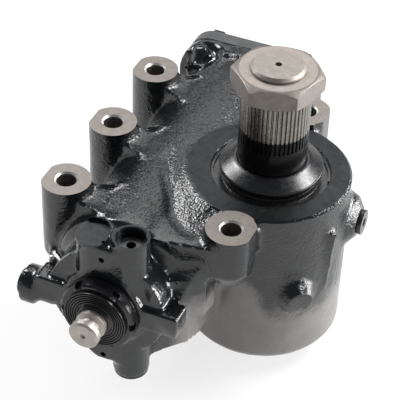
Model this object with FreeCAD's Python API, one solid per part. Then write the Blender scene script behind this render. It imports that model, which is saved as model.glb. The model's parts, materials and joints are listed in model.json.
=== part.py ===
import FreeCAD, Part
import math
import os

from FreeCAD import Placement, Rotation, Vector

# Hydraulic recirculating-ball steering gear of a heavy truck, in millimetres.
# Frame: origin at the centre of the frame bolt pattern, in the machined boss faces (z = 0).
# +Z points out of the boss faces, along the sector shaft to the drop-arm spline.
# +Y points along the cylinder, away from the input shaft. +X points to the sector shaft.

# frame bolt pattern: four corner bosses and one between the two left ones
bolt_span_x = 160.0
bolt_span_y = 192.0
boss_radius = 23.0
left_boss_length = 78.0
right_boss_length = 40.0
boss_runout = 14.0
boss_flat = 20.5
bolt_hole_radius = 9.2
bolt_hole_depth = 40.0

# the two working axes
centre_distance = 90.0
cylinder_drop = 70.0

# cylinder and rack piston
cylinder_bore = 55.0
cylinder_wall = 11.0
cylinder_front = -120.0
cylinder_rear = 184.0
piston_clearance = 0.3
piston_front = -80.0
piston_rear = 112.0

# mesh of sector and rack
tooth_module = 8.0
gear_teeth = 12
cut_teeth = 5
pressure_angle = 25.0
addendum_factor = 0.79
dedendum_factor = 1.0
mesh_backlash = 0.25
sector_width = 70.0
sector_travel = 44.0

# worm and ball train
steering_ratio = 17.0
ball_radius = 5.0
ball_circle = 25.0
ball_turns = 2.0
ball_spacing = 10.9
groove_clearance = 0.6
worm_front = -97.0
worm_rear = 42.0
circuit_centre = -28.0
track_land = 1.4
nut_bore_end = 86.0
end_plug_radius = 15.0
return_seat = 39.0
return_radius = 5.6
clamp_length = 18.0
clamp_foot = 5.0
clamp_screw = 2.4
clamp_screw_z = 11.4
clamp_head = 3.2
piston_ring_y = 96.0
piston_ring_width = 4.0
piston_ring_depth = 4.0

# sector shaft
journal_radius = 32.0
spline_radius = 31.45
spline_teeth = 48
spline_depth = 1.7
spline_start = 36.0
spline_end = 86.0
stud_radius = 24.6
stud_end = 112.4
lower_journal_radius = 24.0
shaft_end_z = -157.0
fit_gap = 0.05
running_gap = 0.3

# pitman nut
nut_across = 73.0
nut_start = 88.0
nut_end = 108.0
nut_phase = 14.4

# sector chamber
chamber_radius = 75.0
chamber_top = -3.0
chamber_bottom = -177.0
chamber_round = 9.0
collar_spread = 26.0
collar_drop = 8.0
cover_radius = 55.0
cover_height = 17.0
sector_room = 1.7
cover_depth = 5.2
lower_seat = 30.0
retainer_low = -8.1
retainer_height = 2.1
retainer_depth = 1.5
floor_thickness = 12.0

# webs between the cylinder barrel and the bosses
web_top = -10.0
web_low_outer = -34.0
web_low_inner = -96.0
gusset_top = -14.0
gusset_fall = 5.0
rib_height = 4.5
rib_spread = 31.0
skirt_low = -132.0

# valve chamber at the front of the casting
front_face = -168.0
neck_radius = 39.0
valve_bore = 32.0
wall_thickness = 7.0
ring_nut_radius = 35.5
ring_nut_length = 12.0
ring_thread_radius = 33.0
ring_slots = 6
nut_engagement = 8.0
ring_width = 2.4
ring_depth = 2.0
input_radius = 14.0
input_end = -206.0
rotor_radius = 16.0
torsion_radius = 3.25
torsion_head = 4.7
torsion_end = 20.0
torsion_pin = 2.0
torsion_pin_y = 12.0
input_pin_y = -178.0
bearing_length = 4.5
end_play = 0.4
cap_radius = 29.5
cap_grooves = 5

# bearings and seals
needle = 6.0
seal_width = 8.0
lower_bearing_length = 32.0
lower_bearing_drop = 6.0

# ports and plugs
port_offset = 20.0
port_y = -150.5
port_top = 7.0
port_column = 17.0
port_mouth = 13.2
port_thread = 9.0
port_depth = 9.0
port_drill = 4.4
insert_flange = 2.5
column_end = -148.0
blind_offset = 14.0
lobe_rim = 5.0
side_lug_top = -58.0
side_lug_height = 25.0
side_plug_x = -92.0
side_plug_y = -155.0
side_plug_z = -80.0
side_boss_radius = 18.0
side_plug_radius = 9.0
chamber_plug_x = 164.0
chamber_plug_y = 20.0
chamber_plug_z = -51.0
foot_radius = 27.0
foot_length = 27.0
foot_z = -86.0
bracket_offset = 57.0
bracket_hole = 2.7

# rear cover
cover_half_x = 72.0
cover_half_z = 60.0
cover_corner = 26.0
cover_thickness = 16.0
cover_bolt_x = 48.0
cover_bolt_z = 44.0
cover_spigot = 24.0
flange_length = 24.0
cover_bolt_radius = 6.0

# lash adjuster under the sector shaft
adjuster_radius = 8.0
adjuster_head = 12.0
adjuster_reach = 17.0
adjuster_key = 8.0
key_depth = 6.0
lock_nut_across = 27.0
lock_nut_height = 10.0
slot_depth = 12.0
slot_head = 6.0

cover_low = chamber_top - cover_depth - cover_height
half_x = bolt_span_x / 2
half_y = bolt_span_y / 2
sector_x = half_x
axis_x = sector_x - centre_distance
axis_z = -cylinder_drop
barrel_radius = cylinder_bore + cylinder_wall
pitch_radius = tooth_module * gear_teeth / 2
pitch_offset = centre_distance - pitch_radius
circular_pitch = math.pi * tooth_module
addendum = addendum_factor * tooth_module
dedendum = dedendum_factor * tooth_module
tip_radius = pitch_radius + addendum
root_radius = pitch_radius - dedendum
worm_lead = 2 * math.pi * pitch_radius / steering_ratio
worm_radius = ball_circle - track_land
nut_bore = ball_circle + track_land
groove_radius = ball_radius + groove_clearance
stroke = pitch_radius * math.radians(sector_travel)

os.makedirs("parts", exist_ok=True)


def save(name, shape):
    shape.exportStep(os.path.join("parts", name + ".step"))
    print(name, len(shape.Solids), round(shape.Volume / 1000.0, 1), shape.isValid())


def rod_z(x, y, low, high, radius):
    return Part.makeCylinder(radius, high - low, Vector(x, y, low))


def rod_y(x, z, low, high, radius):
    return Part.makeCylinder(radius, high - low, Vector(x, low, z), Vector(0, 1, 0))


def rod_x(y, z, low, high, radius):
    return Part.makeCylinder(radius, high - low, Vector(low, y, z), Vector(1, 0, 0))


def wire(points):
    corners = [Vector(*p) for p in points]
    return Part.makePolygon(corners + corners[:1])


def prism(points, along):
    return Part.Face(wire(points)).extrude(Vector(*along))


def lathe(profile):
    """Turn a closed (radius, station) outline about the local Z axis."""
    outline = Part.Face(wire([(r, 0, s) for r, s in profile]))
    return outline.revolve(Vector(0, 0, 0), Vector(0, 0, 1), 360)


def lathe_y(profile):
    """Turn an outline about the cylinder axis, with stations along Y."""
    shape = lathe(profile)
    shape.Placement = Placement(Vector(axis_x, 0, axis_z), Rotation(Vector(1, 0, 0), -90))
    return shape


def lathe_z(profile):
    """Turn an outline about the sector axis, with stations along Z."""
    shape = lathe(profile)
    shape.Placement = Placement(Vector(sector_x, 0, 0), Rotation())
    return shape


def hexagon(across, low, high):
    radius = across / math.sqrt(3)
    corners = [math.radians(60 * k) for k in range(6)]
    return prism([(radius * math.cos(a), radius * math.sin(a), low) for a in corners], (0, 0, high - low))


def rounded_plate(half_wide, half_high, corner, low, high):
    """Rounded rectangle about the cylinder axis, between two stations along Y."""
    box = Part.makeBox(2 * half_wide, high - low, 2 * half_high)
    box.translate(Vector(axis_x - half_wide, low, axis_z - half_high))
    edges = [e for e in box.Edges if abs(e.tangentAt(e.FirstParameter).y) > 0.9]
    return box.makeFillet(corner, edges)


def involute(angle):
    return math.tan(angle) - angle


# sector gear and rack

def tooth_outline():
    """Half-thickness angles of one involute tooth from base to tip."""
    alpha = math.radians(pressure_angle)
    base = pitch_radius * math.cos(alpha)
    half = (circular_pitch / 2 - mesh_backlash) / 2 / pitch_radius + involute(alpha)
    flank = []
    start = max(base, root_radius)
    for step in range(7):
        r = start + (tip_radius - start) * step / 6
        flank.append((r, half - involute(math.acos(min(1.0, base / r)))))
    return flank


def sector_teeth(low, high):
    flank = tooth_outline()
    hub = root_radius
    shape = rod_z(0, 0, low, high, hub)
    foot = flank[0][1]
    for k in range(cut_teeth):
        mid = math.pi + (k - (cut_teeth - 1) / 2) * 2 * math.pi / gear_teeth
        side_a = [(r * math.cos(mid - a), r * math.sin(mid - a)) for r, a in flank]
        side_b = [(r * math.cos(mid + a), r * math.sin(mid + a)) for r, a in flank]
        inner = 0.8 * hub
        first = [(inner * math.cos(mid - foot), inner * math.sin(mid - foot))]
        last = [(inner * math.cos(mid + foot), inner * math.sin(mid + foot))]
        outline = first + side_a + side_b[::-1] + last
        shape = shape.fuse(prism([(x, y, low) for x, y in outline], (0, 0, high - low)))
    trim = rod_z(0, 0, low, high, tip_radius)
    shape = shape.common(trim)
    shape.translate(Vector(sector_x, 0, 0))
    return shape


def make_sector_shaft():
    low = axis_z - sector_width / 2
    high = axis_z + sector_width / 2
    body = lathe_z([
        (0, shaft_end_z), (lower_journal_radius - 1, shaft_end_z),
        (lower_journal_radius, shaft_end_z + 1), (lower_journal_radius, low - 1),
        (root_radius - 4, low), (root_radius - 4, high), (journal_radius, high + 4),
        (journal_radius, spline_start - 5), (spline_radius, spline_start - 4),
        (spline_radius, spline_end - 1.5), (spline_radius - 1.5, spline_end),
        (stud_radius, spline_end), (stud_radius, stud_end - 2.5),
        (stud_radius - 2.5, stud_end), (0, stud_end),
    ])
    body = body.fuse(sector_teeth(low, high))
    pitch = 360.0 / spline_teeth
    width = 0.62 * 2 * math.pi * spline_radius / spline_teeth
    root = spline_radius - spline_depth
    cutters = []
    for k in range(spline_teeth):
        top = prism([
            (root, -0.1 * width, spline_start), (spline_radius + 0.5, -width / 2, spline_start),
            (spline_radius + 0.5, width / 2, spline_start), (root, 0.1 * width, spline_start),
        ], (0, 0, spline_end - spline_start + 0.5))
        top.rotate(Vector(0, 0, 0), Vector(0, 0, 1), k * pitch)
        cutters.append(top)
    cutter = Part.makeCompound(cutters)
    cutter.translate(Vector(sector_x, 0, 0))
    body = body.cut(cutter)
    # T-slot for the head of the adjusting screw
    shank = adjuster_radius + running_gap
    head = adjuster_head + running_gap
    slot = Part.makeBox(2 * shank, chamber_radius, slot_depth + 2)
    slot.translate(Vector(sector_x - shank, -chamber_radius + shank, shaft_end_z - 1))
    tee = Part.makeBox(2 * head, chamber_radius, slot_head)
    tee.translate(Vector(sector_x - head, -chamber_radius + head, shaft_end_z + slot_depth - slot_head))
    body = body.cut(slot.fuse(tee))
    mark = rod_z(sector_x, 0, stud_end - 6, stud_end + 1, 3.0)
    return body.cut(mark)


def rack_cutter(low, high):
    """The space that the sector teeth sweep, as straight-flanked rack gaps along Y."""
    alpha = math.radians(pressure_angle)
    gap = circular_pitch / 2
    face = pitch_offset
    root = face - dedendum
    shape = None
    for k in range(cut_teeth):
        mid = (k - (cut_teeth - 1) / 2) * circular_pitch
        at_root = gap / 2 - (face - root) * math.tan(alpha)
        out = cylinder_bore + 5
        at_out = gap / 2 + (out - face) * math.tan(alpha)
        slot = prism([
            (axis_x + root, mid - at_root, low), (axis_x + root, mid + at_root, low),
            (axis_x + out, mid + at_out, low), (axis_x + out, mid - at_out, low),
        ], (0, 0, high - low))
        shape = slot if shape is None else shape.fuse(slot)
    # the tips of the rack teeth stop short of the sector's roots
    reach = (cut_teeth - 1) / 2 * circular_pitch
    land = Part.makeBox(2 * cylinder_bore, 2 * reach, high - low)
    land.translate(Vector(axis_x + face + addendum, -reach, low))
    return shape.fuse(land)


# recirculating ball train

def track_point(station):
    """Point of the right-hand ball track at a station along Y, and its angle about the axis."""
    angle = 2 * math.pi * (station - circuit_centre) / worm_lead + math.pi
    x = axis_x + ball_circle * math.cos(angle)
    z = axis_z - ball_circle * math.sin(angle)
    return Vector(x, station, z), angle


def ball_track(start, end, side):
    """Groove of the ball track: side -1 is cut into the worm, side 1 into the nut."""
    radial = Vector(1, 0, 0)
    tangent = Vector(0, 1, worm_lead / (2 * math.pi * ball_circle))
    tangent.normalize()
    across = radial.cross(tangent)
    bottom = groove_radius / math.sqrt(3)
    mouth = 2 * bottom + track_land / math.sqrt(3)
    outline = [
        (-track_land, mouth), (groove_radius, bottom), (groove_radius, -bottom), (-track_land, -mouth),
    ]
    corners = [radial * (ball_circle + side * depth) + across * width for depth, width in outline]
    section = Part.makePolygon(corners + corners[:1])
    path = Part.makeHelix(worm_lead, end - start, ball_circle)
    track = Part.Wire(path.Edges).makePipeShell([section], True, True)
    phase = Rotation(Vector(0, 0, 1), math.degrees(track_point(start)[1]))
    along = Rotation(Vector(1, 0, 0), -90)
    track.Placement = Placement(Vector(axis_x, start, axis_z), along.multiply(phase))
    return track


def make_ball(centre):
    """One ball as a faceted sphere."""
    rows = 6
    cols = 10
    rings = []
    for i in range(1, rows):
        polar = math.pi * i / rows
        ring = []
        for j in range(cols):
            turn = 2 * math.pi * j / cols
            out = ball_radius * math.sin(polar)
            spot = Vector(out * math.cos(turn), out * math.sin(turn), ball_radius * math.cos(polar))
            ring.append(centre + spot)
        rings.append(ring)
    top = centre + Vector(0, 0, ball_radius)
    low = centre - Vector(0, 0, ball_radius)
    faces = []
    for j in range(cols):
        n = (j + 1) % cols
        faces.append([top, rings[0][j], rings[0][n]])
        faces.append([low, rings[-1][n], rings[-1][j]])
        for upper, lower in zip(rings, rings[1:]):
            faces.append([upper[j], lower[j], lower[n], upper[n]])
    shell = Part.makeShell([Part.Face(Part.makePolygon(f + f[:1])) for f in faces])
    return Part.makeSolid(shell)


def make_balls():
    path = ball_turns * math.hypot(2 * math.pi * ball_circle, worm_lead)
    count = int(path / ball_spacing)
    first = circuit_centre - ball_turns * worm_lead / 2
    step = ball_turns * worm_lead / count
    return Part.makeCompound([make_ball(track_point(first + (k + 0.5) * step)[0]) for k in range(count)])


head_front = front_face + nut_engagement + bearing_length + end_play
head_rear = cylinder_front - wall_thickness - bearing_length - end_play
head_radius = valve_bore - running_gap
torsion_bore = torsion_head + running_gap
rotor_end = head_rear - 2.0


def ring_stations():
    span = head_rear - head_front
    middle = (head_front + head_rear - ring_width) / 2
    return [head_front + span / 16, middle, head_rear - span / 16 - ring_width]


def make_worm():
    thread = rod_y(axis_x, axis_z, worm_front, worm_rear, worm_radius)
    thread = thread.cut(ball_track(worm_front + 3, worm_rear - 1, -1))
    body = lathe_y([
        (0, head_front), (head_radius, head_front), (head_radius, head_rear),
        (worm_radius - 1, head_rear), (worm_radius - 1, worm_front), (0, worm_front),
    ])
    body = body.fuse(thread)
    rotor_bore = rotor_radius + running_gap
    body = body.cut(rod_y(axis_x, axis_z, head_front - 1, rotor_end + running_gap, rotor_bore))
    body = body.cut(rod_y(axis_x, axis_z, rotor_end, torsion_end + running_gap, torsion_bore))
    for station in ring_stations():
        band = rod_y(axis_x, axis_z, station, station + ring_width, valve_bore + 1)
        core = rod_y(axis_x, axis_z, station - 1, station + ring_width + 1, head_radius - ring_depth)
        body = body.cut(band.cut(core))
    for station in ring_stations()[:2]:
        for turn in (45, 135, 225, 315):
            port = rod_z(0, 0, rotor_radius - 1, valve_bore + 1, 2.2)
            port.rotate(Vector(0, 0, 0), Vector(0, 1, 0), turn)
            port.translate(Vector(axis_x, station + ring_width + 3.2, axis_z))
            body = body.cut(port)
    pin = rod_x(torsion_pin_y, axis_z, axis_x - worm_radius - 1, axis_x + worm_radius + 1, torsion_pin)
    return body.cut(pin)


def make_worm_rings():
    inner = head_radius - ring_depth + fit_gap
    outer = valve_bore - fit_gap
    rings = []
    for station in ring_stations():
        rings.append(ring_y(inner, outer, station + fit_gap, station + ring_width - fit_gap))
    return Part.makeCompound(rings)


def make_worm_pin():
    return rod_x(torsion_pin_y, axis_z, axis_x - worm_radius + 5, axis_x + worm_radius - 5, torsion_pin)


def make_input_shaft():
    neck = input_radius - 4.0
    body = lathe_y([
        (0, input_end), (input_radius - 2, input_end), (input_radius, input_end + 1.5),
        (input_radius, input_end + 6.5), (neck, input_end + 8.5), (neck, input_end + 13),
        (input_radius, input_end + 15), (input_radius, head_front - 1),
        (rotor_radius, head_front - 0.5), (rotor_radius, rotor_end), (0, rotor_end),
    ])
    body = body.cut(rod_y(axis_x, axis_z, input_end + 20, rotor_end + 1, torsion_head + fit_gap))
    for k in range(6):
        slot = Part.makeBox(5, head_rear - head_front - 8, 3)
        slot.translate(Vector(-2.5, head_front + 3, rotor_radius - 1.2))
        slot.rotate(Vector(0, 0, 0), Vector(0, 1, 0), 60 * k)
        slot.translate(Vector(axis_x, 0, axis_z))
        body = body.cut(slot)
    centre = lathe_y([(0, input_end - 1), (2.6, input_end - 0.01), (0, input_end + 4.5)])
    body = body.cut(centre)
    pin = rod_x(input_pin_y, axis_z, axis_x - rotor_radius - 1, axis_x + rotor_radius + 1, torsion_pin)
    return body.cut(pin)


def make_torsion_bar():
    front = input_end + 20.5
    bar = lathe_y([
        (0, front), (torsion_head, front), (torsion_head, input_pin_y + 8),
        (torsion_radius, input_pin_y + 14), (torsion_radius, torsion_pin_y - 14),
        (torsion_head, torsion_pin_y - 8), (torsion_head, torsion_end), (0, torsion_end),
    ])
    bar = bar.cut(rod_x(input_pin_y, axis_z, axis_x - 10, axis_x + 10, torsion_pin))
    return bar.cut(rod_x(torsion_pin_y, axis_z, axis_x - 10, axis_x + 10, torsion_pin + 0.6))


def make_input_pin():
    return rod_x(input_pin_y, axis_z, axis_x - input_radius + 1, axis_x + input_radius - 1, torsion_pin)


def make_rack_piston():
    radius = cylinder_bore - piston_clearance
    start = circuit_centre - ball_turns * worm_lead / 2
    end = circuit_centre + ball_turns * worm_lead / 2
    sleeve = nut_bore + groove_radius + 2.0
    nut = rod_y(axis_x, axis_z, piston_front, nut_bore_end, sleeve)
    nut = nut.cut(rod_y(axis_x, axis_z, piston_front - 1, nut_bore_end + 1, nut_bore))
    nut = nut.cut(ball_track(start - worm_lead / 4, end + worm_lead / 4, 1))
    body = lathe_y([
        (sleeve, piston_front), (radius - 2, piston_front), (radius, piston_front + 2),
        (radius, piston_rear - 2), (radius - 2, piston_rear), (end_plug_radius, piston_rear),
        (end_plug_radius, nut_bore_end), (sleeve, nut_bore_end),
    ])
    body = body.fuse(nut)
    body = body.cut(rack_cutter(axis_z - 2 * cylinder_bore, axis_z + 2 * cylinder_bore))
    # pocket and holes of the ball return
    seat = axis_x - return_seat
    margin = 3 * ball_radius
    pocket = Part.makeBox(cylinder_bore, end - start + 2 * margin, 2 * margin)
    pocket.translate(Vector(seat - cylinder_bore, start - margin, axis_z - margin))
    body = body.cut(pocket)
    for station in (start, end):
        hole = rod_x(station, axis_z, seat - 1, axis_x - ball_circle, return_radius)
        body = body.cut(hole)
    for side in (-1, 1):
        z = axis_z + side * clamp_screw_z
        body = body.cut(rod_x(circuit_centre, z, seat - 1, seat + 7, clamp_screw))
    low = piston_ring_y
    band = rod_y(axis_x, axis_z, low, low + piston_ring_width, cylinder_bore + 1)
    core = rod_y(axis_x, axis_z, low - 1, low + piston_ring_width + 1, radius - piston_ring_depth)
    return body.cut(band.cut(core))


def make_return_tube():
    """Ball return tube: out of the nut, along the piston and back in."""
    start = circuit_centre - ball_turns * worm_lead / 2
    end = circuit_centre + ball_turns * worm_lead / 2
    inner = axis_x - nut_bore - 4.0
    outer = axis_x - return_seat - return_radius - 0.3
    bend = 1.3 * return_radius
    def strand(radius):
        rods = [
            rod_x(start, axis_z, outer, inner, radius),
            rod_x(end, axis_z, outer, inner, radius),
            rod_y(outer, axis_z, start, end, radius),
        ]
        joints = [Part.makeSphere(radius, Vector(outer, s, axis_z)) for s in (start, end)]
        shape = rods[0]
        for piece in rods[1:] + joints:
            shape = shape.fuse(piece)
        return shape
    return strand(return_radius - fit_gap).cut(strand(ball_radius + fit_gap))


# casting

def boss_centres():
    corners = [(sx * half_x, sy * half_y) for sx in (-1, 1) for sy in (-1, 1)]
    return corners + [(-half_x, 0.0)]


def boss_column(x, y):
    """Mounting boss with a flat on its outer side and a run-out below."""
    length = right_boss_length if x > 0 else left_boss_length
    column = rod_z(x, y, -length, 0, boss_radius)
    low = -length - boss_runout
    column = column.fuse(Part.makeCone(boss_radius * 0.7, boss_radius, boss_runout, Vector(x, y, low)))
    side = 1 if x > 0 else -1
    slab = Part.makeBox(20, 4 * boss_radius, length + boss_runout + 2)
    slab.translate(Vector(0, y - 2 * boss_radius, low - 1))
    shift = x + boss_flat if side > 0 else x - boss_flat - 20
    slab.translate(Vector(shift, 0, 0))
    return column.cut(slab)


def level(points, z):
    return [(x, y, z) for x, y in points]


def right_web(side):
    """Sloping wall from the barrel to a right-hand boss. Side is -1 at the front, 1 at the rear."""
    depth = 200.0
    wall = prism([
        (axis_x, 0, web_top), (half_x + boss_radius - 4, 0, web_top),
        (half_x + boss_radius - 4, 0, web_low_outer), (half_x - 11, 0, web_low_outer - 11),
        (half_x - 28, 0, web_low_inner), (axis_x, 0, web_low_inner - 30),
    ], (0, side * depth, 0))
    reach = side * (half_y + boss_radius)
    plan = [
        (axis_x, side * (half_y + 30)), (axis_x + 44, side * (half_y + 30)), (half_x, reach),
        (half_x + boss_radius - 4, side * half_y), (half_x + boss_radius - 4, side * half_y / 2),
        (axis_x, side * half_y / 2),
    ]
    return wall.common(prism(level(plan, -depth), (0, 0, depth)))


def boss_gusset(y):
    """Web from a left boss to the barrel with a raised rib along each edge."""
    inner = axis_x - 12
    near = y - min(rib_spread, y + half_y + 24)
    far = y + rib_spread
    plan = [(-half_x, y - 10), (inner, near), (inner, far), (-half_x, y + 10)]
    fall = prism([
        (-half_x, near, gusset_top + gusset_fall), (inner, near, gusset_top), (inner, near, 3 * gusset_top),
        (-half_x, near, 3 * gusset_top),
    ], (0, far - near, 0))
    web = fall.common(prism(level(plan, 3 * gusset_top), (0, 0, -3 * gusset_top)))
    crest = gusset_top + rib_height
    parts = [web]
    for start, end in ((y - 10, near), (y + 10, far)):
        along = Vector(inner + half_x - 12, end - start, 3)
        section = [(-9, 3 * gusset_top), (9, 3 * gusset_top), (1.5, crest), (-1.5, crest)]
        parts.append(prism([(-half_x + 12, start + w, z) for w, z in section], along))
    return parts


def front_skirt():
    """Lower wall that sweeps from the valve column back to the round of the sector chamber."""
    top = [(36, -140), (50, -132), (half_x - 11, -119), (half_x - 5, -100), (half_x, -70)]
    middle = [(34, -142), (42, -134), (52, -119), (56, -103), (62, -70)]
    low = [(28, -146), (38, -132), (51, -118), (56, -103), (60, -70)]
    layers = []
    for points, z in ((top, web_low_outer - 9), (middle, web_low_inner), (low, skirt_low)):
        inner = [(axis_x, -70), (axis_x, -146)]
        layers.append(wire(level(points + inner, z)))
    return Part.makeLoft(layers, True, True)


def chamber_collar():
    """Shallow cone that carries the rim of the sector chamber down to the barrel and the front web."""
    low = chamber_top - 1 - collar_drop
    reach = chamber_radius + collar_spread
    cone = Part.makeCone(reach, chamber_radius, collar_drop, Vector(sector_x, 0, low))
    plan = [(0, 0), (-reach, 0), (-reach, -2 * reach), (-reach / 5, -2 * reach)]
    wedge = prism(level(plan, low), (0, 0, 2 * collar_drop))
    wedge.translate(Vector(sector_x, 0, 0))
    return cone.common(wedge)


def casting_outside():
    barrel = lathe_y([
        (0, front_face), (neck_radius, front_face), (neck_radius + 3, front_face + 24),
        (barrel_radius, cylinder_front - 4), (barrel_radius, cylinder_rear - 4), (0, cylinder_rear - 4),
    ])
    ease = chamber_round * math.sin(math.radians(22.5))
    chamber = lathe_z([
        (0, chamber_bottom), (chamber_radius - chamber_round, chamber_bottom),
        (chamber_radius - ease, chamber_bottom + ease), (chamber_radius, chamber_bottom + chamber_round),
        (chamber_radius, chamber_top), (0, chamber_top),
    ])
    body = barrel.fuse([chamber, chamber_collar(), right_web(-1), right_web(1), front_skirt()])
    body = body.fuse([boss_column(x, y) for x, y in boss_centres()])
    for y in (-half_y, 0.0, half_y):
        body = body.fuse(boss_gusset(y))
    front = cylinder_rear - flange_length
    flange = rounded_plate(cover_half_x, cover_half_z, cover_corner, front, cylinder_rear)
    lands = [rod_y(x, z, front - 14, cylinder_rear - 1, 12) for x, z in cover_bolts()]
    return body.fuse([flange] + lands)


def valve_outside():
    """Port columns, side lugs and bracket ear on the front of the casting."""
    port_column_x = axis_x + port_offset
    blind_x = axis_x - blind_offset
    right = rod_z(port_column_x, port_y, column_end, port_top, port_column)
    left = rod_z(blind_x, port_y, axis_z, 0, port_column)
    # cast rim left standing behind the machined face of the left lobe
    rim = rod_z(blind_x, port_y, -1, lobe_rim, port_column)
    rim = rim.cut(rod_z(blind_x - 2, port_y - 3, -2, lobe_rim + 1, port_column - 1.5))
    web = Part.makeBox(port_offset + blind_offset, port_column, -axis_z)
    web.translate(Vector(blind_x, front_face, axis_z))
    back = Part.makeBox(port_offset + blind_offset, 40, -axis_z - 8)
    back.translate(Vector(blind_x, port_y, axis_z))
    lug_low = side_lug_top - side_lug_height
    left_lug = Part.makeBox(axis_x + 78, 24, side_lug_height)
    left_lug.translate(Vector(-78, front_face + 1, lug_low))
    right_lug = Part.makeBox(61 - axis_x, 24, side_lug_height - 3)
    right_lug.translate(Vector(axis_x, front_face + 1, lug_low + 3))
    lug_back = front_face + 25
    left_shoulder = prism(level([
        (-76, lug_back), (axis_x, lug_back), (axis_x, -half_y), (-half_x - 18, -half_y),
    ], lug_low + 2), (0, 0, side_lug_height - 8))
    slope = prism([
        (axis_x, -half_y, web_top - 18), (axis_x, cylinder_front - 4, web_top - 22),
        (axis_x, lug_back, side_lug_top - 7), (axis_x, lug_back, lug_low), (axis_x, -half_y, web_low_inner),
    ], (half_x, 0, 0))
    slope_plan = [
        (axis_x, lug_back), (50, lug_back), (58, lug_back + 13), (half_x - 12, cylinder_front + 1),
        (half_x - 12, -half_y), (axis_x, -half_y),
    ]
    right_shoulder = slope.common(prism(level(slope_plan, -150), (0, 0, 150)))
    plug_boss = rod_x(side_plug_y, side_plug_z, side_plug_x, side_plug_x + 12, side_boss_radius)
    neck_start = Vector(side_plug_x + 12, side_plug_y, side_plug_z)
    plug_neck = Part.makeCone(side_boss_radius, 11, 7, neck_start, Vector(1, 0, 0))
    ear_z = axis_z - bracket_offset
    ear = prism([
        (axis_x - 36, front_face, ear_z + 30), (axis_x - 19, front_face, ear_z + 3),
        (axis_x - 8, front_face, ear_z - 6), (port_column_x, front_face, ear_z - 6),
        (port_column_x, front_face, ear_z + 40),
    ], (0, 14, 0))
    sides = [left_lug, right_lug, left_shoulder, right_shoulder, plug_boss, plug_neck]
    return [right, left, rim, web, back, ear] + sides


def chamber_details():
    """Side plug boss, cast foot and rib on the round of the chamber."""
    start = Vector(sector_x + chamber_radius - 8, chamber_plug_y, chamber_plug_z)
    reach = chamber_plug_x - start.x
    across = Vector(1, 0, 0)
    plug = Part.makeCone(27, 23, reach * 0.6, start, across)
    nose = Part.makeCone(23, 14, reach * 0.4, start + across * (reach * 0.6), across)
    turn = math.radians(-47)
    out = Vector(math.cos(turn), math.sin(turn), -0.12)
    foot_root = Vector(sector_x, 0, foot_z) + out * (chamber_radius - 16)
    foot = Part.makeCone(foot_radius, foot_radius / 2, foot_length, foot_root, out)
    rib = prism([
        (chamber_radius - 8, -11, -102), (chamber_radius - 8, 8, -102), (chamber_radius + 1, -1, -102),
    ], (6, 0, 70))
    rib.rotate(Vector(0, 0, 0), Vector(0, 0, 1), -20)
    rib.translate(Vector(sector_x, 0, 0))
    return [plug, nose, foot, rib]


def make_gear_housing():
    body = casting_outside().fuse(valve_outside() + chamber_details())
    body = body.removeSplitter()
    # cylinder, its front wall and the valve bore
    cuts = [rod_y(axis_x, axis_z, cylinder_front, cylinder_rear + 1, cylinder_bore)]
    wall_front = cylinder_front - wall_thickness
    cuts.append(rod_y(axis_x, axis_z, wall_front - 1, cylinder_front + 1, worm_radius + 2))
    cuts.append(rod_y(axis_x, axis_z, front_face - 1, wall_front, valve_bore))
    cuts.append(rod_y(axis_x, axis_z, front_face - 1, front_face + nut_engagement, ring_thread_radius))
    # sector chamber
    low = axis_z - sector_width / 2 - 1.5
    floor = chamber_bottom + floor_thickness
    cuts.append(rod_z(sector_x, 0, low, cover_low - 1, tip_radius + sector_room))
    cuts.append(rod_z(sector_x, 0, cover_low - 2, chamber_top + 1, cover_radius))
    cuts.append(rod_z(sector_x, 0, floor, low + 1, lower_seat))
    core = rod_z(sector_x, 0, floor, low + 1, chamber_radius - cylinder_wall - 2)
    cuts.append(core.cut(rod_z(sector_x, 0, floor - 1, low + 2, lower_seat + cylinder_wall)))
    cuts.append(rod_z(sector_x, 0, chamber_bottom - 1, floor + 1, adjuster_radius))
    groove = rod_z(sector_x, 0, retainer_low, retainer_low + retainer_height, cover_radius + retainer_depth)
    cuts.append(groove)
    # tapped mounting holes
    for x, y in boss_centres():
        cuts.append(rod_z(x, y, -bolt_hole_depth, 1, bolt_hole_radius))
    # pressure port, drilled on into the valve bore
    x = axis_x + port_offset
    floor = port_top - port_depth
    cuts.append(rod_z(x, port_y, floor, port_top + 1, port_mouth))
    cuts.append(rod_z(x, port_y, floor - 18, floor + 1, port_thread))
    cuts.append(rod_z(x, port_y, floor - insert_flange, floor + 1, port_mouth - 2.4))
    cuts.append(rod_z(x, port_y, axis_z + valve_bore - 16, floor, port_drill))
    cuts.append(rod_z(axis_x - 2, front_face + 9, -6, 1, 1.8))
    # relief valve bore at the foot of the port column
    cuts.append(rod_z(x, port_y, column_end - 1, column_end + 22, port_column - 7))
    # bracket holes, side plug seats and rear cover threads
    for side in (-1, 1):
        z = axis_z + side * bracket_offset
        cuts.append(rod_y(axis_x, z, front_face - 1, front_face + 11, bracket_hole))
    cuts.append(rod_x(side_plug_y, side_plug_z, side_plug_x - 1, side_plug_x + 16, side_plug_radius))
    low = chamber_plug_x - 16
    cuts.append(rod_x(chamber_plug_y, chamber_plug_z, low, chamber_plug_x + 1, side_plug_radius))
    for x, z in cover_bolts():
        cuts.append(rod_y(x, z, cylinder_rear - flange_length + 2, cylinder_rear + 1, cover_bolt_radius))
    return body.cut(cuts)


def cover_bolts():
    return [(axis_x + sx * cover_bolt_x, axis_z + sz * cover_bolt_z) for sx in (-1, 1) for sz in (-1, 1)]


# covers, bearings, seals and plugs held by the casting

def ring_y(inner, outer, low, high):
    return rod_y(axis_x, axis_z, low, high, outer).cut(rod_y(axis_x, axis_z, low - 1, high + 1, inner))


def ring_z(inner, outer, low, high):
    return rod_z(sector_x, 0, low, high, outer).cut(rod_z(sector_x, 0, low - 1, high + 1, inner))


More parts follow.
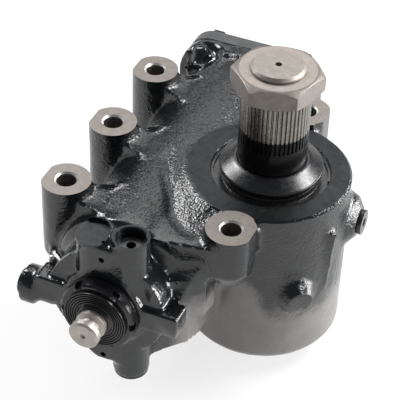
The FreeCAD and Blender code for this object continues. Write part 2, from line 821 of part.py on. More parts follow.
def hex_head_y(x, z, start, across, height):
    head = hexagon(across, 0, height)
    head.rotate(Vector(0, 0, 0), Vector(1, 0, 0), -90)
    head.translate(Vector(x, start, z))
    return head


def make_cylinder_cover():
    face = cylinder_rear + cover_thickness
    plate = rounded_plate(cover_half_x, cover_half_z, cover_corner, cylinder_rear, face)
    spigot = rod_y(axis_x, axis_z, cylinder_rear - cover_spigot, cylinder_rear + 1, cylinder_bore - fit_gap)
    dome = lathe_y([(0, cylinder_rear), (44, face), (38, face + 8), (0, face + 8)])
    body = plate.fuse([spigot, dome])
    hollow = rod_y(axis_x, axis_z, cylinder_rear - cover_spigot - 1, cylinder_rear - 1, cylinder_bore - 9)
    body = body.cut(hollow)
    for x, z in cover_bolts():
        body = body.cut(rod_y(x, z, cylinder_rear - 1, face + 1, cover_bolt_radius + 0.6))
    return body.cut(seal_groove_y(cylinder_rear - cover_spigot + 6))


def seal_groove_y(low):
    return ring_y(cylinder_bore - 3.0, cylinder_bore + 1, low, low + 4.0)


def make_cylinder_cover_seal():
    low = cylinder_rear - cover_spigot + 6
    return ring_y(cylinder_bore - 3.0 + fit_gap, cylinder_bore - fit_gap, low + 0.5, low + 3.5)


def make_cylinder_cover_bolts():
    bolts = []
    top = cylinder_rear + cover_thickness
    for x, z in cover_bolts():
        shank = rod_y(x, z, cylinder_rear - flange_length + 4, top, cover_bolt_radius - fit_gap)
        collar = rod_y(x, z, top, top + 2.5, 12)
        head = hex_head_y(x, z, top + 2.5, 19, 9)
        bolts.append(shank.fuse([collar, head]).removeSplitter())
    return Part.makeCompound(bolts)


def make_sector_cover():
    top = chamber_top - cover_depth
    bearing = journal_radius + needle
    lip = journal_radius + seal_width
    return lathe_z([
        (bearing, cover_low), (cover_radius - fit_gap, cover_low), (cover_radius - fit_gap, top - 3),
        (cover_radius - fit_gap, top), (lip + 5, top), (lip + 4, top + 4.5), (lip, top + 4.5),
        (lip, top - 6), (bearing - 1.5, top - 6), (bearing - 1.5, top - 9), (bearing, top - 9),
    ])


def make_retaining_ring():
    gap = Part.makeBox(10, 8, 10)
    gap.translate(Vector(sector_x + cover_radius - 5, 1, retainer_low - 4))
    outer = cover_radius + retainer_depth - 0.2
    band = ring_z(cover_radius - 2.2, outer, retainer_low + 0.05, retainer_low + 2.0)
    return band.cut(gap)


def make_sector_seal():
    top = chamber_top - cover_depth
    return lathe_z([
        (journal_radius + fit_gap, top - 5), (journal_radius + seal_width - fit_gap, top - 5.9),
        (journal_radius + seal_width - fit_gap, top + 3.5), (journal_radius + 4, top + 3.5),
        (journal_radius + 3, top - 1), (journal_radius + fit_gap, top - 2),
    ])


def make_upper_bearing():
    top = chamber_top - cover_depth - 9.2
    return ring_z(journal_radius + fit_gap, journal_radius + needle - fit_gap, cover_low + 0.5, top)


def make_lower_bearing():
    high = axis_z - sector_width / 2 - lower_bearing_drop
    low = high - lower_bearing_length
    return ring_z(lower_journal_radius + fit_gap, lower_seat - fit_gap, low, high)


def make_adjusting_screw():
    head_z = shaft_end_z + slot_depth - slot_head
    head = rod_z(sector_x, 0, head_z + 0.2, head_z + slot_head - 0.6, adjuster_head)
    screw_end = chamber_bottom - adjuster_reach
    screw = rod_z(sector_x, 0, screw_end, head_z + 1, adjuster_radius - fit_gap)
    key = hexagon(adjuster_key, screw_end - 1, screw_end + key_depth)
    key.translate(Vector(sector_x, 0, 0))
    return head.fuse(screw).cut(key)


def make_lock_nut():
    low = chamber_bottom - lock_nut_height
    nut = hexagon(lock_nut_across, low, chamber_bottom)
    nut.translate(Vector(sector_x, 0, 0))
    return nut.cut(rod_z(sector_x, 0, low - 1, chamber_bottom + 1, adjuster_radius))


def make_pitman_nut():
    nut = hexagon(nut_across, nut_start, nut_end)
    nut.rotate(Vector(0, 0, 0), Vector(0, 0, 1), nut_phase)
    nut.translate(Vector(sector_x, 0, 0))
    corner = nut_across / math.sqrt(3)
    flat = nut_across / 2
    turned = lathe_z([
        (0, nut_start), (flat - 1, nut_start), (corner + 0.5, nut_start + 3.5),
        (corner + 0.5, nut_end - 4.5), (flat - 2, nut_end), (0, nut_end),
    ])
    nut = nut.common(turned)
    return nut.cut(rod_z(sector_x, 0, nut_start - 1, nut_end + 1, stud_radius + fit_gap))


def make_dust_cover():
    inner = journal_radius + fit_gap
    return lathe_z([
        (inner, 1.5), (44.5, -1.0), (46.5, 1.5), (47.6, 2.2), (47.6, 5.2), (46.4, 6.0),
        (inner + 5, 11.6), (inner + 2, 12.8), (inner, 12.8),
    ])


def make_ring_nut():
    """Slotted bearing nut at the input end, with the seats of the bearing, seal and dust cap."""
    back = front_face + nut_engagement
    rim = front_face - ring_nut_length
    nut = lathe_y([
        (input_radius + needle, back), (ring_thread_radius - fit_gap, back),
        (ring_thread_radius - fit_gap, front_face), (ring_nut_radius, front_face),
        (ring_nut_radius, rim + 2), (ring_nut_radius - 2, rim), (cap_radius, rim),
        (cap_radius, rim + 5), (input_radius + seal_width, rim + 5),
        (input_radius + seal_width, front_face + 1.0), (input_radius + needle, front_face + 1.0),
    ])
    for k in range(ring_slots):
        slot = Part.makeBox(7, 8, 8)
        slot.translate(Vector(-3.5, rim - 1, ring_nut_radius - 4))
        slot.rotate(Vector(0, 0, 0), Vector(0, 1, 0), 360 * (k + 0.5) / ring_slots)
        slot.translate(Vector(axis_x, 0, axis_z))
        nut = nut.cut(slot)
    return nut


def make_input_bearing():
    low = front_face + 1.2
    return ring_y(input_radius + fit_gap, input_radius + needle - fit_gap, low, front_face + nut_engagement)


def make_input_seal():
    rim = front_face - ring_nut_length
    return ring_y(input_radius + fit_gap, input_radius + seal_width - fit_gap, rim + 6, front_face + 0.8)


def make_dust_cap():
    """Rubber dust cap with concentric grooves round the input shaft."""
    rim = front_face - ring_nut_length
    back = rim + 4.9
    profile = [(input_radius + 0.5, back), (cap_radius - fit_gap, back), (cap_radius - fit_gap, rim - 3.0)]
    pitch = (cap_radius - input_radius - 4.5) / cap_grooves
    r = cap_radius - fit_gap
    for k in range(cap_grooves):
        profile += [(r - 0.5 * pitch, rim - 3.0), (r - 0.6 * pitch, rim - 1.4)]
        profile += [(r - 0.9 * pitch, rim - 1.4), (r - pitch, rim - 3.0)]
        r -= pitch
    profile += [(r - 0.8, rim - 3.0), (input_radius + 1.6, rim - 6.5), (input_radius + 0.5, rim - 6.5)]
    return lathe_y(profile)


def make_thrust_bearings():
    front_high = head_front - end_play / 2
    rear_low = head_rear + end_play / 2
    outer = valve_bore - 0.4
    front = ring_y(input_radius + 5, outer, front_high - bearing_length, front_high)
    rear = ring_y(worm_radius + 1.5, outer, rear_low, rear_low + bearing_length)
    return Part.makeCompound([front, rear])


def make_port_insert():
    floor = port_top - port_depth
    x = axis_x + port_offset
    tube = rod_z(x, port_y, floor - 17.5, floor, port_thread - fit_gap)
    ring = rod_z(x, port_y, floor - insert_flange, floor, port_mouth - 2.5)
    return tube.fuse(ring).cut(rod_z(x, port_y, floor - 19, floor + 1, port_drill))


def make_relief_cap():
    x = axis_x + port_offset
    disc = rod_z(x, port_y, column_end - 3, column_end, port_column - 1.2)
    stem = rod_z(x, port_y, column_end - 1, column_end + 18, port_column - 7 - fit_gap)
    key = hexagon(10, column_end - 4, column_end + 4)
    key.translate(Vector(x, port_y, 0))
    return disc.fuse(stem).cut(key)


def plug_x(y, z, face, inward):
    """Screw plug with a hexagon socket, along X. Inward is the direction into the casting."""
    stem = rod_x(y, z, -10, 0, side_plug_radius - fit_gap)
    stem.translate(Vector(10, 0, 0))
    head = rod_x(y, z, -4, 0, side_plug_radius + 3.0)
    key = hexagon(8, -6, 3)
    key.rotate(Vector(0, 0, 0), Vector(0, 1, 0), 90)
    key.translate(Vector(0, y, z))
    plug = stem.fuse(head).cut(key)
    if inward < 0:
        plug.rotate(Vector(0, y, z), Vector(0, 0, 1), 180)
    plug.translate(Vector(face, 0, 0))
    return plug


def make_piston_ring():
    low = piston_ring_y
    core = cylinder_bore - piston_clearance - piston_ring_depth
    return ring_y(core + fit_gap, cylinder_bore - fit_gap, low + fit_gap, low + piston_ring_width - fit_gap)


def make_end_plug():
    plug = rod_y(axis_x, axis_z, nut_bore_end + 8, piston_rear - 1, end_plug_radius - fit_gap)
    key = hexagon(12, 0, 9)
    key.rotate(Vector(0, 0, 0), Vector(1, 0, 0), -90)
    key.translate(Vector(axis_x, piston_rear - 9, axis_z))
    return plug.cut(key)


def make_tube_clamp():
    """Strap over the return tube, with a foot for a screw on each side."""
    seat = axis_x - return_seat
    middle = seat - return_radius - running_gap
    low = circuit_centre - clamp_length / 2
    high = circuit_centre + clamp_length / 2
    foot = clamp_screw_z + clamp_head + 0.2
    plate = Part.makeBox(clamp_foot, clamp_length, 2 * foot)
    plate.translate(Vector(seat - clamp_foot, low, axis_z - foot))
    strap = rod_y(middle, axis_z, low, high, return_radius + 2.0)
    room = rod_y(middle, axis_z, low - 1, high + 1, return_radius + fit_gap)
    side = return_radius + fit_gap
    open_side = Part.makeBox(2 * return_radius, clamp_length + 2, 2 * side)
    open_side.translate(Vector(middle, low - 1, axis_z - side))
    below = Part.makeBox(20, clamp_length + 2, 4 * foot)
    below.translate(Vector(seat, low - 1, axis_z - 2 * foot))
    clamp = plate.fuse(strap).cut([room, open_side, below])
    for sign in (-1, 1):
        z = axis_z + sign * clamp_screw_z
        clamp = clamp.cut(rod_x(circuit_centre, z, seat - 20, seat + 1, clamp_screw + fit_gap))
    return clamp


def make_clamp_screws():
    seat = axis_x - return_seat
    top = seat - clamp_foot
    screws = []
    for sign in (-1, 1):
        z = axis_z + sign * clamp_screw_z
        shank = rod_x(circuit_centre, z, top, seat + 6, clamp_screw - fit_gap)
        head = rod_x(circuit_centre, z, top - 3.5, top, clamp_head)
        key = hexagon(3.2, -4, 2)
        key.rotate(Vector(0, 0, 0), Vector(0, 1, 0), 90)
        key.translate(Vector(top - 3.5, circuit_centre, z))
        screws.append(shank.fuse(head).cut(key))
    return Part.makeCompound(screws)


save("gear_housing", make_gear_housing())
save("cylinder_cover", make_cylinder_cover())
save("cylinder_cover_seal", make_cylinder_cover_seal())
save("cylinder_cover_bolts", make_cylinder_cover_bolts())
save("sector_cover", make_sector_cover())
save("retaining_ring", make_retaining_ring())
save("sector_seal", make_sector_seal())
save("upper_bearing", make_upper_bearing())
save("lower_bearing", make_lower_bearing())
save("adjusting_screw", make_adjusting_screw())
save("lock_nut", make_lock_nut())
save("ring_nut", make_ring_nut())
save("input_bearing", make_input_bearing())
save("input_seal", make_input_seal())
save("dust_cap", make_dust_cap())
save("thrust_bearings", make_thrust_bearings())
save("port_insert", make_port_insert())
save("relief_cap", make_relief_cap())
save("side_plug", plug_x(side_plug_y, side_plug_z, side_plug_x, 1))
save("chamber_plug", plug_x(chamber_plug_y, chamber_plug_z, chamber_plug_x, -1))
save("sector_shaft", make_sector_shaft())
save("pitman_nut", make_pitman_nut())
save("dust_cover", make_dust_cover())
save("rack_piston", make_rack_piston())
save("piston_ring", make_piston_ring())
save("end_plug", make_end_plug())
save("return_tube", make_return_tube())
save("tube_clamp", make_tube_clamp())
save("clamp_screws", make_clamp_screws())
save("balls", make_balls())
save("worm", make_worm())
save("worm_rings", make_worm_rings())
save("worm_pin", make_worm_pin())
save("input_shaft", make_input_shaft())
save("torsion_bar", make_torsion_bar())
save("input_pin", make_input_pin())
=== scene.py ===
# %% [markdown]
# # Dressing a truck steering gear
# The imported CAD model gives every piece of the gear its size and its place.
# This lesson gives the pieces their surfaces: black paint on sand-cast iron, bare machined
# faces, turned steel, rubber and plastic. Lengths in the code are millimetres times MM.

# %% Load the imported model
import json
import math

import bmesh
import bpy
from mathutils import Matrix, Vector

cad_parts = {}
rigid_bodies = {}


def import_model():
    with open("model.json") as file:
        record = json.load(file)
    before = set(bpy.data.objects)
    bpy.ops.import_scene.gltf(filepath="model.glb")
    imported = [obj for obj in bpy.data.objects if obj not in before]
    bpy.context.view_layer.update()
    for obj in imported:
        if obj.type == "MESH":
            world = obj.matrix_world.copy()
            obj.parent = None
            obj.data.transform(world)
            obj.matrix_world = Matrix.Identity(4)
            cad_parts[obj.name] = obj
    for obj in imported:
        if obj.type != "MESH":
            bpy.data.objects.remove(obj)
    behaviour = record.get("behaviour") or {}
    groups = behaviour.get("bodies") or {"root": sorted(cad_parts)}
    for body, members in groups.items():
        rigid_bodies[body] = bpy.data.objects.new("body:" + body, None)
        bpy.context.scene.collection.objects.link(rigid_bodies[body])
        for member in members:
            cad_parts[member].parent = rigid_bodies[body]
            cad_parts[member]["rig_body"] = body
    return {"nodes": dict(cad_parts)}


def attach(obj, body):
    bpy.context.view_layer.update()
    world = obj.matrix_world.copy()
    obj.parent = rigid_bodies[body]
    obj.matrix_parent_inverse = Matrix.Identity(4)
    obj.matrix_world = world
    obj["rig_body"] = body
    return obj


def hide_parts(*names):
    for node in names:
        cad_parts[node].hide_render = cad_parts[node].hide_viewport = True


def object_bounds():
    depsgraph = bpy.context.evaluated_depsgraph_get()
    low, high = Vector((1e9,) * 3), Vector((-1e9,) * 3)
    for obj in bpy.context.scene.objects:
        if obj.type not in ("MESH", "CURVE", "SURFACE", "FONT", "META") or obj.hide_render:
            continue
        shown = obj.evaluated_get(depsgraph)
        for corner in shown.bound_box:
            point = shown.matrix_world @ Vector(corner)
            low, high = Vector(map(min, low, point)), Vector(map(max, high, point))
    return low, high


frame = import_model()
cad_low, cad_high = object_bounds()
nodes = frame["nodes"]
scene = bpy.context.scene
MM = 0.001
print("CAD nodes:", len(nodes), "box in mm:", [round(v / MM) for v in (*cad_low, *cad_high)])

# %% [markdown]
# ## The camera
# The viewpoint was worked out from round things whose size is known: the five boss faces,
# the toothed shaft and the ring face. It looks down at about 40 degrees with a long lens,
# so parallel edges stay nearly parallel. The lens follows from the picture being 400 pixels wide.

# %% Camera at the photograph's viewpoint
yaw, drop, roll = (math.radians(a) for a in (-21.88, 39.59, -2.13))
picture_width = 400
focal_pixels = 1478.73
camera_place = (416.2, -1008.1, 834.2)
forward = Vector((math.sin(yaw) * math.cos(drop), math.cos(yaw) * math.cos(drop), -math.sin(drop)))
level = Vector((math.cos(yaw), -math.sin(yaw), 0.0))
down = forward.cross(level)
right = math.cos(roll) * level + math.sin(roll) * down
below = math.cos(roll) * down - math.sin(roll) * level
camera = bpy.data.objects.new("camera", bpy.data.cameras.new("camera"))
camera.data.sensor_width = 36.0
camera.data.lens = focal_pixels * camera.data.sensor_width / picture_width
camera.data.clip_end = 20.0
turn = Matrix((right, -below, -forward)).transposed().to_4x4()
camera.matrix_world = Matrix.Translation(Vector(camera_place) * MM) @ turn
scene.collection.objects.link(camera)
scene.camera = camera
print("lens in mm:", round(camera.data.lens, 1))

# %% [markdown]
# ## The lamps
# Black gloss paint shows little of its own colour and much of what it mirrors, so a lamp's
# place decides where its streak falls, and its size decides how soft the streak is. The square
# key lamp stands at the left, a wide one behind, a long one behind at the right, and another
# low at the right. The Standard view shows a colour about as it is written.

# %% Soft lamps
scene.view_settings.view_transform = "Standard"


def softbox(name, place, aim, wide, high, watts):
    """A rectangular lamp at one place in metres, facing another."""
    light = bpy.data.lights.new(name, "AREA")
    light.shape = "RECTANGLE"
    light.size = wide
    light.size_y = high
    light.energy = watts
    lamp = bpy.data.objects.new(name, light)
    lamp.location = place
    lamp.rotation_euler = (Vector(aim) - Vector(place)).to_track_quat("-Z", "Y").to_euler()
    scene.collection.objects.link(lamp)


middle = (cad_low + cad_high) / 2
softbox("key_lamp", (-0.98, 0.33, 0.98), middle, 0.48, 0.48, 15.0)
softbox("back_lamp", (-0.28, 1.02, 1.10), middle, 1.20, 0.60, 6.4)
softbox("strip_lamp", (0.72, 0.58, 0.90), middle, 0.80, 0.34, 22.0)
softbox("right_lamp", (1.10, 0.42, 0.00), middle, 1.20, 0.34, 21.0)

# %% [markdown]
# ## The world and the floor
# The gear was photographed on white. Its steep walls mirror the floor and look pale, and its
# level faces mirror the ceiling and look black. So the world that is seen, or mirrored, is white
# around the horizon and dim overhead. The world that only gives fill light is a plain pale grey.
# A direction's height in the world's coordinates is the sine of its angle above the horizon.

# %% World with a white horizon and a dim ceiling
white_below, dim_above = 0.08, 0.34
world = bpy.data.worlds.new("studio")
scene.world = world
world.use_nodes = True
air = world.node_tree
fill = air.nodes["Background"]
fill.inputs["Color"].default_value = (0.74, 0.75, 0.77, 1)
fill.inputs["Strength"].default_value = 0.5


def combine(tree, operation, first, second):
    """A Math node's result for two values, each a number or another node's output."""
    node = tree.nodes.new("ShaderNodeMath")
    node.operation = operation
    for socket, value in zip(node.inputs, (first, second)):
        if isinstance(value, float):
            socket.default_value = value
        else:
            tree.links.new(value, socket)
    return node.outputs[0]


def seen_directly(tree):
    """1 for camera, glossy and transmission rays, 0 for the rays that only carry light."""
    path = tree.nodes.new("ShaderNodeLightPath")
    mirrored = combine(tree, "MAXIMUM", path.outputs["Is Glossy Ray"], path.outputs["Is Transmission Ray"])
    return combine(tree, "MAXIMUM", path.outputs["Is Camera Ray"], mirrored)


direction = air.nodes.new("ShaderNodeTexCoord")
height = air.nodes.new("ShaderNodeSeparateXYZ")
air.links.new(direction.outputs["Object"], height.inputs[0])
sky = air.nodes.new("ShaderNodeValToRGB")
horizon, overhead = sky.color_ramp.elements
horizon.position = white_below
horizon.color = (1, 1, 1, 1)
overhead.position = dim_above
overhead.color = (0.112, 0.124, 0.142, 1)
air.links.new(height.outputs["Z"], sky.inputs["Fac"])
backdrop = air.nodes.new("ShaderNodeBackground")
air.links.new(sky.outputs["Color"], backdrop.inputs["Color"])
mixed = air.nodes.new("ShaderNodeMixShader")
air.links.new(seen_directly(air), mixed.inputs["Fac"])
air.links.new(fill.outputs[0], mixed.inputs[1])
air.links.new(backdrop.outputs[0], mixed.inputs[2])
air.links.new(mixed.outputs[0], air.nodes["World Output"].inputs["Surface"])
print("white up to", round(math.degrees(math.asin(white_below)), 1), "degrees above the horizon")

# %% Floor under the gear
floor_size = 4.0
floor_gap = 0.5 * MM
floor_form = bmesh.new()
bmesh.ops.create_grid(floor_form, x_segments=1, y_segments=1, size=floor_size)
bmesh.ops.translate(floor_form, verts=floor_form.verts, vec=(0, 0, cad_low.z - floor_gap))
floor_mesh = bpy.data.meshes.new("floor")
floor_form.to_mesh(floor_mesh)
floor_form.free()
floor = bpy.data.objects.new("floor", floor_mesh)
scene.collection.objects.link(floor)
print("floor at mm:", round((cad_low.z - floor_gap) / MM, 1))

# %% [markdown]
# ## Finishes
# A finish is a Principled shader whose colour, gloss and bumps come from noise in object
# coordinates. Because a piece's place is in its mesh, those coordinates are the gear's own
# metres, and a pattern size is given straight in millimetres.

# %% Helpers for patterns in millimetres


def finish(name, metallic=0.0):
    """A new material with its tree and its Principled shader."""
    material = bpy.data.materials.new(name)
    material.use_nodes = True
    shader = material.node_tree.nodes["Principled BSDF"]
    shader.inputs["Metallic"].default_value = metallic
    return material, material.node_tree, shader


def where(tree, centre=(0, 0, 0), stretch=(1, 1, 1)):
    """Object coordinates, measured from a centre in millimetres and stretched."""
    source = tree.nodes.new("ShaderNodeTexCoord")
    shift = tree.nodes.new("ShaderNodeMapping")
    shift.inputs["Location"].default_value = [-c * s * MM for c, s in zip(centre, stretch)]
    shift.inputs["Scale"].default_value = stretch
    tree.links.new(source.outputs["Object"], shift.inputs["Vector"])
    return shift.outputs["Vector"]


def grain(tree, size, detail=3.0, rough=0.6):
    """Noise whose blobs are about this many millimetres across."""
    noise = tree.nodes.new("ShaderNodeTexNoise")
    noise.inputs["Scale"].default_value = 1 / (size * MM)
    noise.inputs["Detail"].default_value = detail
    noise.inputs["Roughness"].default_value = rough
    tree.links.new(where(tree), noise.inputs["Vector"])
    return noise.outputs["Fac"]


def span(tree, value, low, high, start=0.3, stop=0.7):
    """Bring a value that runs from start to stop to the range from low to high."""
    fit = tree.nodes.new("ShaderNodeMapRange")
    fit.inputs["From Min"].default_value = start
    fit.inputs["From Max"].default_value = stop
    fit.inputs["To Min"].default_value = low
    fit.inputs["To Max"].default_value = high
    tree.links.new(value, fit.inputs["Value"])
    return fit.outputs["Result"]


# %% Helpers for colours and bumps


def blend_colours(tree, value, first, second):
    """Mix two colours, each a colour or another node's output."""
    mix = tree.nodes.new("ShaderNodeMix")
    mix.data_type = "RGBA"
    tree.links.new(value, mix.inputs["Factor"])
    for socket, colour in ((mix.inputs["A"], first), (mix.inputs["B"], second)):
        if isinstance(colour, tuple):
            socket.default_value = (*colour, 1)
        else:
            tree.links.new(colour, socket)
    return mix.outputs["Result"]


def blotches(tree, size, dark, light, detail=3.0):
    """Two near colours in blobs of this many millimetres."""
    return blend_colours(tree, span(tree, grain(tree, size, detail=detail), 0, 1), dark, light)


def relief(tree, height, depth, over=None, strength=None):
    """Bumps this many millimetres deep, on top of other bumps, faded by a strength."""
    bump = tree.nodes.new("ShaderNodeBump")
    bump.inputs["Distance"].default_value = depth * MM
    bump.inputs["Strength"].default_value = 1.0
    tree.links.new(height, bump.inputs["Height"])
    if over is not None:
        tree.links.new(over, bump.inputs["Normal"])
    if strength is not None:
        tree.links.new(strength, bump.inputs["Strength"])
    return bump.outputs["Normal"]


# %% [markdown]
# ## Paint on sand-cast iron
# Sand leaves a pebbly skin with grains of one to two millimetres, and thick paint rounds
# them off and shines on every one. Two layers of bumps give that: coarse waves and the grain.
# The valve end and the hollow round the rear cover's left screw are smoother, so both layers
# fade there. Low down on the sector chamber and its skirt the paint is duller and less pebbly,
# and its lighter grey there is a painted reflection of the white floor. A mask made from height
# and place, with a little drift, turns the one paint into the other.

# %% Masks for the casting's paint
# Heights in mm where the painted floor reflection and the duller paint begin and are full
sheen_from, sheen_below, edge_drift = -62, -84, 8
outer_drop, drop_from, drop_to = 42, 82, 112
barrel_side, chamber_side = 38, 48
valve_end, valve_rough = -126, -104
pocket_middle = (-54, 156)
pocket_calm_to, pocket_rough_from = 20, 32
calm_strength = 0.3
cast_paint, tree, shader = finish("cast_paint")
place = tree.nodes.new("ShaderNodeSeparateXYZ")
tree.links.new(where(tree), place.inputs[0])
across, along, up = place.outputs

drift = span(tree, grain(tree, 26), -edge_drift * MM, edge_drift * MM)
lower_outside = span(tree, across, 0, outer_drop * MM, drop_from * MM, drop_to * MM)
paint_height = combine(tree, "ADD", combine(tree, "ADD", up, drift), lower_outside)
low_down = span(tree, paint_height, 0, 1, sheen_from * MM, sheen_below * MM)
outward = span(tree, across, 0, 1, barrel_side * MM, chamber_side * MM)
# Mask for the duller paint and the painted floor reflection: low down and far out on the chamber
floor_sheen_and_dull = combine(tree, "MULTIPLY", low_down, outward)

valve_calm = span(tree, along, calm_strength, 1, valve_end * MM, valve_rough * MM)
from_pocket = tree.nodes.new("ShaderNodeVectorMath")
from_pocket.operation = "LENGTH"
tree.links.new(where(tree, centre=(*pocket_middle, -20), stretch=(1, 1, 0.3)), from_pocket.inputs[0])
pocket_calm = span(
    tree, from_pocket.outputs["Value"], calm_strength, 1, pocket_calm_to * MM, pocket_rough_from * MM
)
calm = combine(tree, "MULTIPLY", valve_calm, pocket_calm)
print("masks made with", len(tree.nodes), "nodes")

# %% Black casting paint, duller low on the chamber, with a painted floor reflection there
thick_tone = blotches(tree, 18, (0.0040, 0.0047, 0.0056), (0.008, 0.0092, 0.0106))
# The lighter grey low on the chamber is a painted reflection of the white floor
floor_reflection_tone = blotches(tree, 30, (0.115, 0.108, 0.103), (0.155, 0.147, 0.142))
tree.links.new(blend_colours(tree, floor_sheen_and_dull, thick_tone, floor_reflection_tone), shader.inputs["Base Color"])
wet_gloss = span(tree, grain(tree, 3.0), 0.11, 0.19)
duller = span(tree, floor_sheen_and_dull, 0.0, 0.22, 0.0, 1.0)
tree.links.new(combine(tree, "ADD", wet_gloss, duller), shader.inputs["Roughness"])
smoother = span(tree, floor_sheen_and_dull, 1.0, 0.18, 0.0, 1.0)
waves = relief(tree, grain(tree, 12.0, detail=2.0), 0.4, strength=calm)
pebbles = relief(
    tree, grain(tree, 2.2, detail=1.5), 0.75, over=waves, strength=combine(tree, "MULTIPLY", smoother, calm)
)
tree.links.new(pebbles, shader.inputs["Normal"])
shader.inputs["Specular IOR Level"].default_value = 0.65
print("casting paint nodes:", len(tree.nodes))

# %% [markdown]
# ## Machined faces, threads and plain steels
# Where the casting is milled, the bare iron is a warm matt grey. Turned steel carries fine
# rings about its own axis, so each turned finish is told where that axis is. On the ring face
# the rings are deeper and smear the lamps to both sides, as a lathe's marks do. At a scale of
# one, the wave texture repeats every 2 pi / 20 = 0.314 m, so that is divided by the pitch.

# %% Turning marks and bare metal
sector_axis = (80, 0, 0)
worm_axis = (-10, 0, -70)
wave_pitch = 0.314


def rings(tree, centre, pitch, axis="Z"):
    """Turning marks: fine rings about an axis through a centre."""
    wave = tree.nodes.new("ShaderNodeTexWave")
    wave.wave_type = "RINGS"
    wave.rings_direction = axis
    wave.inputs["Scale"].default_value = wave_pitch / (pitch * MM)
    wave.inputs["Distortion"].default_value = 0.6
    wave.inputs["Detail"].default_value = 1.0
    tree.links.new(where(tree, centre=centre), wave.inputs["Vector"])
    return wave.outputs["Fac"]


def bare_metal(name, dark, light, rough, marks=None, grit=0.02, groove=0.012):
    """Bare metal with blotchy colour, fine grit and optional turning marks."""
    material, tree, shader = finish(name, metallic=1.0)
    tree.links.new(blotches(tree, 7.0, dark, light, detail=4.0), shader.inputs["Base Color"])
    tree.links.new(span(tree, grain(tree, 2.4), rough - 0.06, rough + 0.08), shader.inputs["Roughness"])
    normal = relief(tree, grain(tree, 0.5, detail=2.0), grit)
    if marks:
        normal = relief(tree, rings(tree, *marks), groove, over=normal)
    tree.links.new(normal, shader.inputs["Normal"])
    return material


# %% Irons and steels
milled_iron = bare_metal("milled_iron", (0.225, 0.203, 0.184), (0.275, 0.252, 0.230), 0.58, grit=0.03)
bright_chamfer = bare_metal("bright_chamfer", (0.60, 0.58, 0.55), (0.72, 0.70, 0.67), 0.36)
ring_iron = bare_metal(
    "ring_iron", (0.027, 0.0278, 0.029), (0.046, 0.047, 0.0485), 0.38, (sector_axis, 1.3), groove=0.07
)
nut_steel = bare_metal("nut_steel", (0.300, 0.265, 0.236), (0.372, 0.330, 0.296), 0.50, grit=0.03)
# A darker copy of the nut's steel for its side faces: painted shade, as the flanks take less light than the
# top
shaded_nut_flank = bare_metal("shaded_nut_flank", (0.165, 0.149, 0.136), (0.21, 0.191, 0.175), 0.50, grit=0.03)
stud_steel = bare_metal(
    "stud_steel", (0.270, 0.245, 0.218), (0.340, 0.310, 0.280), 0.50, (sector_axis, 0.8)
)
shaft_steel = bare_metal(
    "shaft_steel", (0.36, 0.332, 0.300), (0.46, 0.428, 0.392), 0.50, (worm_axis, 0.8, "Y")
)
plain_steel = bare_metal("plain_steel", (0.42, 0.41, 0.40), (0.55, 0.54, 0.52), 0.34)
ground_steel = bare_metal("ground_steel", (0.58, 0.58, 0.59), (0.66, 0.66, 0.67), 0.14)
dark_steel = bare_metal("dark_steel", (0.05, 0.05, 0.052), (0.10, 0.10, 0.10), 0.33)
print("metals:", [m.name for m in bpy.data.materials if m.name.endswith(("iron", "steel"))])

# %% Threads in the tapped bosses
thread_pitch = 2.5
tapped_iron, tree, shader = finish("tapped_iron", metallic=1.0)
shader.inputs["Base Color"].default_value = (0.17, 0.16, 0.15, 1)
tree.links.new(span(tree, grain(tree, 3.0), 0.40, 0.55), shader.inputs["Roughness"])
threads = tree.nodes.new("ShaderNodeTexWave")
threads.bands_direction = "Z"
threads.inputs["Scale"].default_value = wave_pitch / (thread_pitch * MM)
tree.links.new(where(tree), threads.inputs["Vector"])
tree.links.new(relief(tree, threads.outputs["Fac"], 0.5), shader.inputs["Normal"])
print("thread pitch in mm:", thread_pitch)

# %% [markdown]
# ## Toothed shaft
# The drop-arm teeth are bare steel above and dipped in paint below, with a slightly uneven
# edge. Height above the boss faces decides which, with a little noise added to it.

# %% Half-painted spline steel
dip_height = 49.5
spline_steel, tree, shader = finish("spline_steel")
height = tree.nodes.new("ShaderNodeSeparateXYZ")
tree.links.new(where(tree), height.inputs[0])
uneven = combine(tree, "MULTIPLY", grain(tree, 6.0), 3.0 * MM)
edge = combine(tree, "ADD", uneven, height.outputs["Z"])
bare = span(tree, edge, 0, 1, dip_height * MM, (dip_height + 1.5) * MM)
steel_tone = blotches(tree, 9, (0.17, 0.157, 0.142), (0.25, 0.234, 0.214))
tree.links.new(blend_colours(tree, bare, (0.004, 0.004, 0.0045), steel_tone), shader.inputs["Base Color"])
tree.links.new(bare, shader.inputs["Metallic"])
paint_gloss = span(tree, grain(tree, 2.5), 0.10, 0.20)
steel_extra = span(tree, bare, 0.0, 0.14, 0.0, 1.0)
tree.links.new(combine(tree, "ADD", paint_gloss, steel_extra), shader.inputs["Roughness"])
shader.inputs["Specular IOR Level"].default_value = 0.1
tree.links.new(relief(tree, grain(tree, 1.2), 0.03), shader.inputs["Normal"])
print("teeth are bare above mm:", dip_height)

# %% [markdown]
# ## Rubber, plastic and thin paint
# Moulded parts are smooth and dark. They differ in gloss: the ring nut's paint and the rubber
# cap shine, the plastic cover is satin, and the brushed-on paint of the rear cover is dull.

# %% Soft and painted finishes


def dark_skin(name, dark, light, gloss, grit_size, grit_depth):
    """Paint, plastic or rubber: a dark coat with its own gloss and grain."""
    material, tree, shader = finish(name)
    tree.links.new(blotches(tree, 12.0, dark, light), shader.inputs["Base Color"])
    tree.links.new(span(tree, grain(tree, 3.5), gloss - 0.05, gloss + 0.07), shader.inputs["Roughness"])
    tree.links.new(relief(tree, grain(tree, grit_size), grit_depth), shader.inputs["Normal"])
    return material


